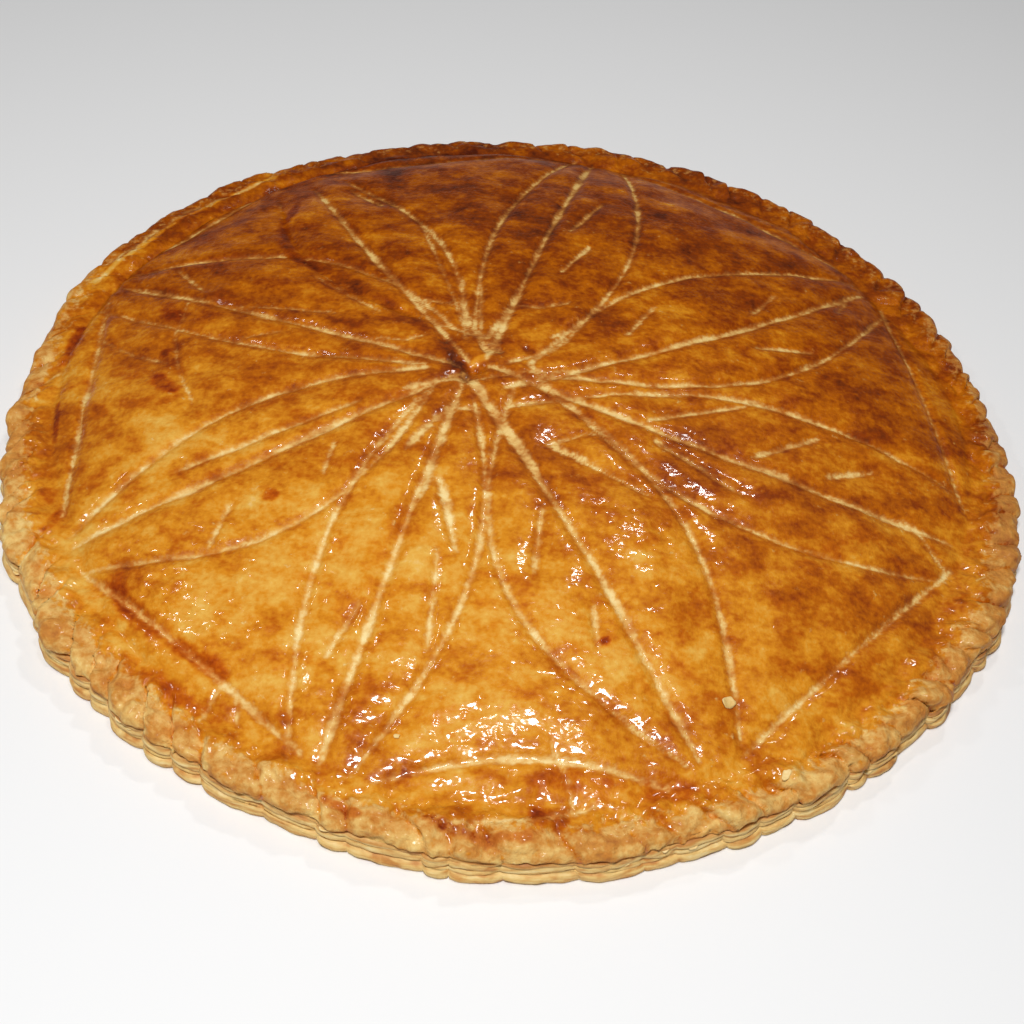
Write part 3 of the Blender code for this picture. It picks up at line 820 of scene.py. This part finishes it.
STREAKS = (
    Streak(((-84, 90), (-86, 78), (-83, 62), (-77, 52), (-69, 47)), 1.6, 0.20, 0.7),
    Streak(((-66, 46), (-47, 29), (-29, 12), (-18, -3)), 2.4, 0.14, 0.2),
    # These four darken the torn holes round the hub, where shade falls: painted shade, with no red stain
    Streak(((-17, -6), (-16, -8)), 1.8, 0.26, 0.0),
    Streak(((-22, 3), (-20, -1)), 1.5, 0.20, 0.0),
    Streak(((-12, 7), (-7, 6)), 1.3, 0.20, 0.0),
    Streak(((1, 8), (3, 7)), 1.3, 0.22, 0.0),
    Streak(((-15, 0), (-11, 3)), 1.5, -0.24),
    Streak(((-145, 25), (-146, 9)), 2.0, 0.22),
    Streak(((-143, -11), (-140, -27)), 0.7, 0.18),
    Streak(((-137, -48), (-136, -50)), 2.0, 0.16),
    Streak(((-131, -56), (-134, -62)), 1.6, 0.18),
    Streak(((-146, 50), (-126, 88), (-97, 118)), 1.3, -0.32),
    Streak(((-118, -84), (-110, -90), (-104, -97)), 2.4, -0.16),
    Streak(((-108, -83), (-103, -92), (-95, -99), (-74, -112)), 2.6, 0.20),
    Streak(((-100, -108), (-78, -122)), 2.4, 0.16),
    Streak(((15, -137), (34, -137), (52, -134)), 3.8, 0.10),
    Streak(((-116, 28), (-113, 24)), 2.8, 0.18),
    Streak(((-112, 6), (-112, 5)), 1.4, 0.26),
    Streak(((-111, -7), (-109, -10), (-106, -12)), 2.4, 0.28),
    Streak(((-69, -57), (-68, -57)), 1.9, 0.26),
    Streak(((28, -97), (29, -97)), 1.5, 0.36),
    Streak(((-21, -137), (-20, -137)), 1.0, 0.35),
    Streak(((-14, -150), (-2, -154), (12, -153)), 1.3, 0.20),
    Streak(((-40, -146), (-32, -150)), 1.2, 0.22),
    Streak(((14, -146), (20, -148)), 2.6, 0.17),
    Streak(((42, -155), (45, -154)), 1.5, 0.22),
    Streak(((-96, 108), (-60, 133), (-25, 145)), 2.4, 0.14),
)

# Where the glaze ran over the cuts and sealed them; the amount is in mm
SEALED = Streak(((-88, 100), (-85, 82), (-82, 65), (-77, 50), (-66, 46), (-47, 29), (-32, 15)), 2.6, 3.2)

# Where the cuts' pale strips narrow and fade; the amount is in mm
FAINT = (
    Patch(-95, 22, 55, 30, 0.5), Patch(131, 20, 20, 42, 0.5), Patch(108, -80, 30, 26, 0.4),
)

# How brown the front is, how much browner the middle and the back are, and how far that leans right
FRONT_TONE = 0.428
MIDDLE_TONE = 0.19
BACK_TONE = 0.13
LEAN_RIGHT = 0.45
FULL_STAIN = 0.24

# The brush stopped about here; the notches get painted shade, and the left rim's risers are pale and bare
BRUSHED_RADIUS = 149 * MM
BRUSHED_WANDER = 3.5 * MM
NOTCH_SHADE_TONE = 0.12
NOTCH_SHADE_FROM = (147 * MM, 152 * MM)
RISER_TONE = -0.22
RISER_FROM = (149 * MM, 154 * MM)
RISER_BARE = 0.8
RISER_STRETCH = (math.radians(190), math.radians(262), math.radians(20))

# The glaze is thick in front and thins towards the back
SHINE_LOST = 0.92
SHINE_FROM = -50 * MM
SHINE_TO = 55 * MM
# Painted shade in the gaps between the side's layers
GAP_SHADE_TONE = 0.45


def in_patch(x, y, patch):
    """How strongly each place shows the patch."""
    away = ((x / MM - patch.x) / patch.reach_x) ** 2 + ((y / MM - patch.y) / patch.reach_y) ** 2
    return patch.amount * np.exp(-away)


def along_streak(x, y, streak):
    """How strongly each place shows the streak."""
    course = np.array(streak.places) * MM
    gap, _ = gap_to_line(x, y, Line(course[:, 0], course[:, 1], 0.0, 0.0, 0.0))
    wander = 1.0 + 0.5 * noise_at(x, y, 0.0 * x, 6 * MM, 35) + 0.5 * noise_at(x, y, 0.0 * x, 2.2 * MM, 36)
    return streak.amount * np.exp(-((gap / (streak.half * MM * wander)) ** 4))


def browning(x, y):
    """Slow changes in how brown the crust is, from 0, pale, to 1, burnt."""
    backward = y + LEAN_RIGHT * x
    tone = FRONT_TONE + MIDDLE_TONE * ease(backward, -85 * MM, 0.0)
    tone += BACK_TONE * ease(backward, 0.0, 110 * MM)
    for patch in PATCHES:
        tone = tone + in_patch(x, y, patch)
    return tone + 0.05 * noise_at(x, y, 0.0 * x, 30 * MM, 31)


place = read(lid)
lid_bake_and_shade = browning(place[:, 0], place[:, 1])
lid_stain = 0.0 * lid_bake_and_shade
for streak in STREAKS:
    shown = along_streak(place[:, 0], place[:, 1], streak)
    lid_bake_and_shade += shown
    lid_stain += streak.red * np.maximum(shown, 0.0) / FULL_STAIN
lid_score += MM * along_streak(place[:, 0], place[:, 1], SEALED)
for patch in FAINT:
    lid_score += MM * in_patch(place[:, 0], place[:, 1], patch)
front = 0.5 - 0.5 * np.sin(lid_turn)
wander = noise_at(np.cos(lid_turn), np.sin(lid_turn), 0.0 * lid_turn, 0.16, 33)
brushed_to = BRUSHED_RADIUS + BRUSHED_WANDER * wander
_, lid_shingled, lid_riser, _, lid_depth = tab_form(lid_turn, lid_radius)
in_notch = ease(1.0 - lid_shingled, 0.45, 1.0)
lid_riser *= ease(lid_radius, *RISER_FROM) * ease(lid_depth, 0.3, 0.9)
lid_riser *= in_stretch(lid_turn, RISER_STRETCH)
lid_bare = ease(lid_radius, brushed_to - 3 * MM, brushed_to + 6 * MM) * (1.0 - 0.5 * in_notch)
lid_bare *= 0.35 + 0.65 * ease(front, 0.15, 0.65)
lid_bare = np.maximum(lid_bare, RISER_BARE * lid_riser)
# Painted shade in the notches, darker where they are pressed deep
lid_bake_and_shade += NOTCH_SHADE_TONE * ease(lid_radius, *NOTCH_SHADE_FROM) * lid_depth * in_notch
lid_bake_and_shade += RISER_TONE * lid_riser
thinned = ease(place[:, 1] + 0.15 * place[:, 0], SHINE_FROM, SHINE_TO)
# Browning, with painted shade in the notches and the hub's torn holes
keep_value(lid, "bake_and_shade", lid_bake_and_shade)
keep_value(lid, "score", lid_score / MM)
keep_value(lid, "bare", lid_bare)
keep_value(lid, "shine", 1.0 - SHINE_LOST * thinned)
keep_value(lid, "stain", np.minimum(lid_stain, 1.0))
place = read(side)
# The side's browning, with painted shade added in the gaps between its layers
keep_value(side, "bake_and_shade", browning(place[:, 0], place[:, 1]) + GAP_SHADE_TONE * shaded_gaps)
print("browning from", round(float(lid_bake_and_shade.min()), 2), "to", round(float(lid_bake_and_shade.max()), 2))

# %% [markdown]
# ## Part the margin from the dome
# A sheet as fine as this one is too heavy for a single piece, so it is parted in the fold at the
# dome's foot. The way each vertex faces is noted before and given back after, so that light runs
# across the join as if the two were still one.

# %% Separate the rings outside the dome's foot
FOOT_RING = 157
facing = lid.data.attributes.new("facing", "FLOAT_VECTOR", "POINT")
facing.data.foreach_set("vector", np.ascontiguousarray(read(lid, "normal"), dtype=np.float32).ravel())
corners = np.empty(len(lid.data.loops), dtype=np.int32)
lid.data.loops.foreach_get("vertex_index", corners)
outside = lid_ring[corners].reshape(-1, 4).min(axis=1) > FOOT_RING - 0.5
bpy.ops.object.select_all(action="DESELECT")
lid.select_set(True)
bpy.context.view_layer.objects.active = lid
bpy.context.tool_settings.mesh_select_mode = (False, False, True)
bpy.ops.object.mode_set(mode="EDIT")
bpy.ops.mesh.select_all(action="DESELECT")
bpy.ops.object.mode_set(mode="OBJECT")
lid.data.polygons.foreach_set("select", outside)
bpy.ops.object.mode_set(mode="EDIT")
bpy.ops.mesh.separate(type="SELECTED")
bpy.ops.object.mode_set(mode="OBJECT")
margin = next(piece for piece in bpy.context.selected_objects if piece is not lid)
margin.name = margin.data.name = "notched_margin"


def give_facing(piece):
    """Let the piece's vertices face the way that was noted before it was parted."""
    flat = np.empty(len(piece.data.vertices) * 3, dtype=np.float32)
    piece.data.attributes["facing"].data.foreach_get("vector", flat)
    piece.data.normals_split_custom_set_from_vertices(flat.reshape(-1, 3).tolist())
    piece.data.attributes.remove(piece.data.attributes["facing"])


for piece in (lid, margin):
    give_facing(piece)
    print(piece.name, 2 * len(piece.data.polygons), "triangles")

# %% [markdown]
# ## Materials
# Baked dough goes from cream through gold and orange to brown, so one number, the browning with its
# painted shade, runs through a colour ramp. Noise at several sizes shifts that number: clouds of two
# centimetres, blotches of a few millimetres and flecks of one. The bare dough in the cuts and on the
# margin has a ramp of its own, paler and duller, and a red-brown stain is laid over the darkest streaks.
# The glaze is a clear coat over all of it, rippled by a bump of its own.

# %% Helpers that build the materials
def add_node(tree, kind, inputs=None, **settings):
    """Add a node, with its settings and its inputs given as numbers or as other nodes' outputs."""
    made = tree.nodes.new(kind)
    for name, value in settings.items():
        setattr(made, name, value)
    for name, value in (inputs or {}).items():
        socket = made.inputs[name]
        if isinstance(value, bpy.types.NodeSocket):
            tree.links.new(value, socket)
        else:
            socket.default_value = value
    return made


def maths(tree, operation, first, second=0.0, third=0.0):
    """One sum on up to three numbers."""
    return add_node(tree, "ShaderNodeMath", {0: first, 1: second, 2: third}, operation=operation).outputs[0]


def plus(tree, total, value, share):
    """The total with a share of the value added."""
    return maths(tree, "MULTIPLY_ADD", value, share, total)


def grain(tree, place, size, detail=2.0, roughness=0.5):
    """Noise whose lumps are as large as size, from about -0.5 to 0.5."""
    inputs = {"Vector": place, "Scale": 1.0 / size, "Detail": detail, "Roughness": roughness}
    made = add_node(tree, "ShaderNodeTexNoise", inputs)
    return maths(tree, "SUBTRACT", made.outputs["Fac"], 0.5)


def between(tree, value, low, high, start=0.0, end=1.0):
    """Rise smoothly from start to end as value goes from low to high."""
    inputs = {"Value": value, "From Min": low, "From Max": high, "To Min": start, "To Max": end}
    return add_node(tree, "ShaderNodeMapRange", inputs, interpolation_type="SMOOTHSTEP").outputs["Result"]


def ramp(tree, value, stops):
    """A colour for each browning."""
    made = add_node(tree, "ShaderNodeValToRGB", {"Fac": value})
    elements = made.color_ramp.elements
    while len(elements) < len(stops):
        elements.new(0.5)
    for element, (position, colour) in zip(elements, stops):
        element.position = position
        element.color = (*colour, 1.0)
    return made.outputs["Color"]


def stored(tree, name):
    """A number kept with the mesh."""
    return add_node(tree, "ShaderNodeAttribute", attribute_name=name).outputs["Fac"]


def blend(tree, amount, first, second, data_type="FLOAT", blend_type="MIX"):
    """First where amount is 0 and second where it is 1, or there both multiplied, for MULTIPLY."""
    a, b, out = {"FLOAT": (2, 3, 0), "RGBA": (6, 7, 2)}[data_type]
    inputs = {0: amount, a: first, b: second}
    made = add_node(tree, "ShaderNodeMix", inputs, data_type=data_type, blend_type=blend_type)
    return made.outputs[out]


GLAZED_CRUST = (
    (0.00, (0.82, 0.58, 0.25)),
    (0.22, (0.76, 0.415, 0.070)),
    (0.42, (0.67, 0.250, 0.012)),
    (0.60, (0.47, 0.118, 0.002)),
    (0.78, (0.26, 0.046, 0.002)),
    (1.00, (0.08, 0.015, 0.005)),
)
BARE_DOUGH = (
    (0.00, (0.88, 0.70, 0.34)),
    (0.25, (0.77, 0.51, 0.17)),
    (0.50, (0.58, 0.25, 0.050)),
    (0.75, (0.40, 0.155, 0.040)),
    (1.00, (0.18, 0.055, 0.015)),
)
STAIN_COLOUR = (1.0, 0.66, 0.36, 1.0)


# %% Make the crust's material
def new_material(name):
    """An empty node material and its shader."""
    material = bpy.data.materials.new(name)
    material.use_nodes = True
    return material, material.node_tree, material.node_tree.nodes["Principled BSDF"]


crust_finish, tree, shader = new_material("glazed_crust")
spot = add_node(tree, "ShaderNodeTexCoord").outputs["Object"]
drawn_out = add_node(tree, "ShaderNodeMapping", {"Vector": spot, "Scale": (0.72, 1.0, 1.0)}).outputs[0]
cloud = grain(tree, drawn_out, 22 * MM, 2.0)
blotch = grain(tree, drawn_out, 7.0 * MM, 3.5, 0.60)
freckle = grain(tree, spot, 2.0 * MM, 2.0)
fleck = grain(tree, spot, 1.3 * MM, 2.0)
speck = grain(tree, spot, 0.6 * MM, 1.0)
crumb = grain(tree, spot, 2.5 * MM, 3.0, 0.6)

# The browning, with painted shade in the notches and the hub's torn holes
tone = stored(tree, "bake_and_shade")
for value, share in ((cloud, 0.55), (blotch, 0.80), (freckle, -0.30), (fleck, -0.18)):
    tone = plus(tree, tone, value, share)

ragged = plus(tree, stored(tree, "score"), fleck, 2.2)
ragged = plus(tree, ragged, blotch, 1.0)
worn = between(tree, blotch, -0.12, 0.12, 0.98, 0.55)
in_cut = maths(tree, "MULTIPLY", between(tree, ragged, -0.9, 0.95, 1.0, 0.0), worn)
pooled = between(tree, ragged, 0.3, 2.4, 0.04, 0.0)
tone = maths(tree, "ADD", tone, pooled)

bare = plus(tree, stored(tree, "bare"), crumb, 2.2)
bare = between(tree, bare, 0.30, 0.75, 0.0, 0.92)
cut_tone = maths(tree, "MULTIPLY_ADD", tone, 0.60, -0.16)
margin_tone = maths(tree, "MULTIPLY_ADD", tone, 0.85, 0.04)
margin_tone = plus(tree, margin_tone, crumb, -0.6)
dough_tone = blend(tree, in_cut, margin_tone, cut_tone)
uncovered = maths(tree, "MAXIMUM", bare, in_cut)
colour = blend(tree, uncovered, ramp(tree, tone, GLAZED_CRUST), ramp(tree, dough_tone, BARE_DOUGH), "RGBA")
stain = maths(tree, "MULTIPLY", stored(tree, "stain"), between(tree, blotch, -0.15, 0.05, 0.4, 1.0))
stain = maths(tree, "ADD", stain, between(tree, blotch, 0.03, 0.16, 0.0, 0.25))
stained = blend(tree, stain, colour, STAIN_COLOUR, "RGBA", "MULTIPLY")
tree.links.new(stained, shader.inputs["Base Color"])

gloss = maths(tree, "MULTIPLY_ADD", blotch, 0.35, 0.34)
dull = maths(tree, "MULTIPLY_ADD", fleck, 0.3, 0.62)
tree.links.new(blend(tree, uncovered, gloss, dull), shader.inputs["Roughness"])
thick = maths(tree, "MULTIPLY", stored(tree, "shine"), 0.8)
tree.links.new(blend(tree, uncovered, thick, 0.05), shader.inputs["Coat Weight"])
shader.inputs["Coat Roughness"].default_value = 0.12
shader.inputs["Coat IOR"].default_value = 1.45
shader.inputs["Specular IOR Level"].default_value = 0.05

pits = plus(tree, fleck, speck, 0.5)
pits = plus(tree, pits, maths(tree, "MULTIPLY", crumb, bare), 3.0)
wrinkle = grain(tree, drawn_out, 2.0 * MM, 1.0)
rough_pits = add_node(tree, "ShaderNodeBump", {"Strength": 0.8, "Distance": 0.30 * MM, "Height": pits})
tree.links.new(rough_pits.outputs["Normal"], shader.inputs["Normal"])
ripples = add_node(tree, "ShaderNodeBump", {"Strength": 0.7, "Distance": 0.30 * MM, "Height": wrinkle})
tree.links.new(ripples.outputs["Normal"], shader.inputs["Coat Normal"])

# %% Make the layers' material
layer_finish, tree, shader = new_material("flaky_layers")
spot = add_node(tree, "ShaderNodeTexCoord").outputs["Object"]
flat_spot = add_node(tree, "ShaderNodeMapping", {"Vector": spot, "Scale": (1.0, 1.0, 7.0)}).outputs[0]
sheets = grain(tree, flat_spot, 6 * MM, 3.0)
fleck = grain(tree, spot, 1.2 * MM, 2.0)
height = add_node(tree, "ShaderNodeSeparateXYZ", {"Vector": spot}).outputs["Z"]
near_lip = between(tree, height, 6.0 * MM, 7.8 * MM, 0.0, 0.22)
near_base = between(tree, height, 3.2 * MM, 1.4 * MM, 0.0, 0.04)
# The side's browning, with painted shade in the gaps between its layers
tone = maths(tree, "MULTIPLY_ADD", stored(tree, "bake_and_shade"), 0.65, -0.02)
tone = maths(tree, "ADD", tone, near_lip)
tone = maths(tree, "ADD", tone, near_base)
tone = plus(tree, tone, sheets, 0.95)
tone = plus(tree, tone, fleck, 0.20)
tree.links.new(ramp(tree, tone, BARE_DOUGH), shader.inputs["Base Color"])
shader.inputs["Roughness"].default_value = 0.62
bump = add_node(tree, "ShaderNodeBump", {"Strength": 0.5, "Distance": 0.25 * MM, "Height": fleck})
tree.links.new(bump.outputs["Normal"], shader.inputs["Normal"])

lid.data.materials.append(crust_finish)
margin.data.materials.append(crust_finish)
side.data.materials.append(layer_finish)

# %% Make the flakes' material
flake_finish, tree, shader = new_material("pale_flakes")
spot = add_node(tree, "ShaderNodeTexCoord").outputs["Object"]
patchy = grain(tree, spot, 9 * MM, 2.0)
fleck = grain(tree, spot, 1.0 * MM, 2.0)
tone = maths(tree, "MULTIPLY_ADD", patchy, 0.7, 0.15)
tone = plus(tree, tone, fleck, 0.35)
tree.links.new(ramp(tree, tone, BARE_DOUGH), shader.inputs["Base Color"])
shader.inputs["Roughness"].default_value = 0.55
for piece in (loose_flakes, rim_shards):
    piece.data.materials.clear()
    piece.data.materials.append(flake_finish)

# %% [markdown]
# ## Light and floor
# One soft lamp stands close above the camera, so the near half is bright and the far half falls away,
# and the glaze glints where its wrinkles lean towards both. Three weak lamps, above, behind and at the
# left, add glints of their own and keep the far side readable from behind. They are small, because a
# wide lamp lays a grey sheen over dark glaze. The floor is plain and pale.

# %% Add the floor, the lamps and the world
LAMP_AIM = Vector((0.0, -0.02, 0.01))
WORLD_LIGHT = 0.09

bpy.ops.mesh.primitive_plane_add(size=6.0)
floor = bpy.context.object
floor.name = "floor"
floor_finish, tree, shader = new_material("pale_floor")
shader.inputs["Base Color"].default_value = (0.86, 0.86, 0.86, 1.0)
shader.inputs["Roughness"].default_value = 0.9
floor.data.materials.append(floor_finish)


def add_lamp(name, place, power, size):
    """A round soft lamp that faces the cake."""
    bpy.ops.object.light_add(type="AREA", location=place)
    lamp = bpy.context.object
    lamp.name = name
    lamp.data.shape = "DISK"
    lamp.data.energy = power
    lamp.data.size = size
    lamp.rotation_euler = (LAMP_AIM - Vector(place)).to_track_quat("-Z", "Y").to_euler()


add_lamp("key_lamp", (-0.06, -0.42, 0.78), 5.8, 0.12)
add_lamp("high_lamp", (0.04, -0.16, 0.80), 0.6, 0.05)
add_lamp("back_lamp", (0.18, 0.33, 0.72), 0.7, 0.05)
add_lamp("left_lamp", (-0.57, 0.12, 0.75), 0.5, 0.05)

world = bpy.data.worlds.new("studio")
bpy.context.scene.world = world
world.use_nodes = True
background = world.node_tree.nodes["Background"]
background.inputs["Color"].default_value = (1.0, 1.0, 1.0, 1.0)
background.inputs["Strength"].default_value = WORLD_LIGHT
bpy.context.scene.view_settings.view_transform = "Standard"

# %% [markdown]
# ## Tie the pieces to the frame
# Every piece moves with the root body, and the imported model that the new pieces stand in for is
# hidden.

for piece in (lid, margin, side, loose_flakes, rim_shards):
    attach(piece, "root")
for piece in (lid, margin, side):
    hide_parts("king_cake")
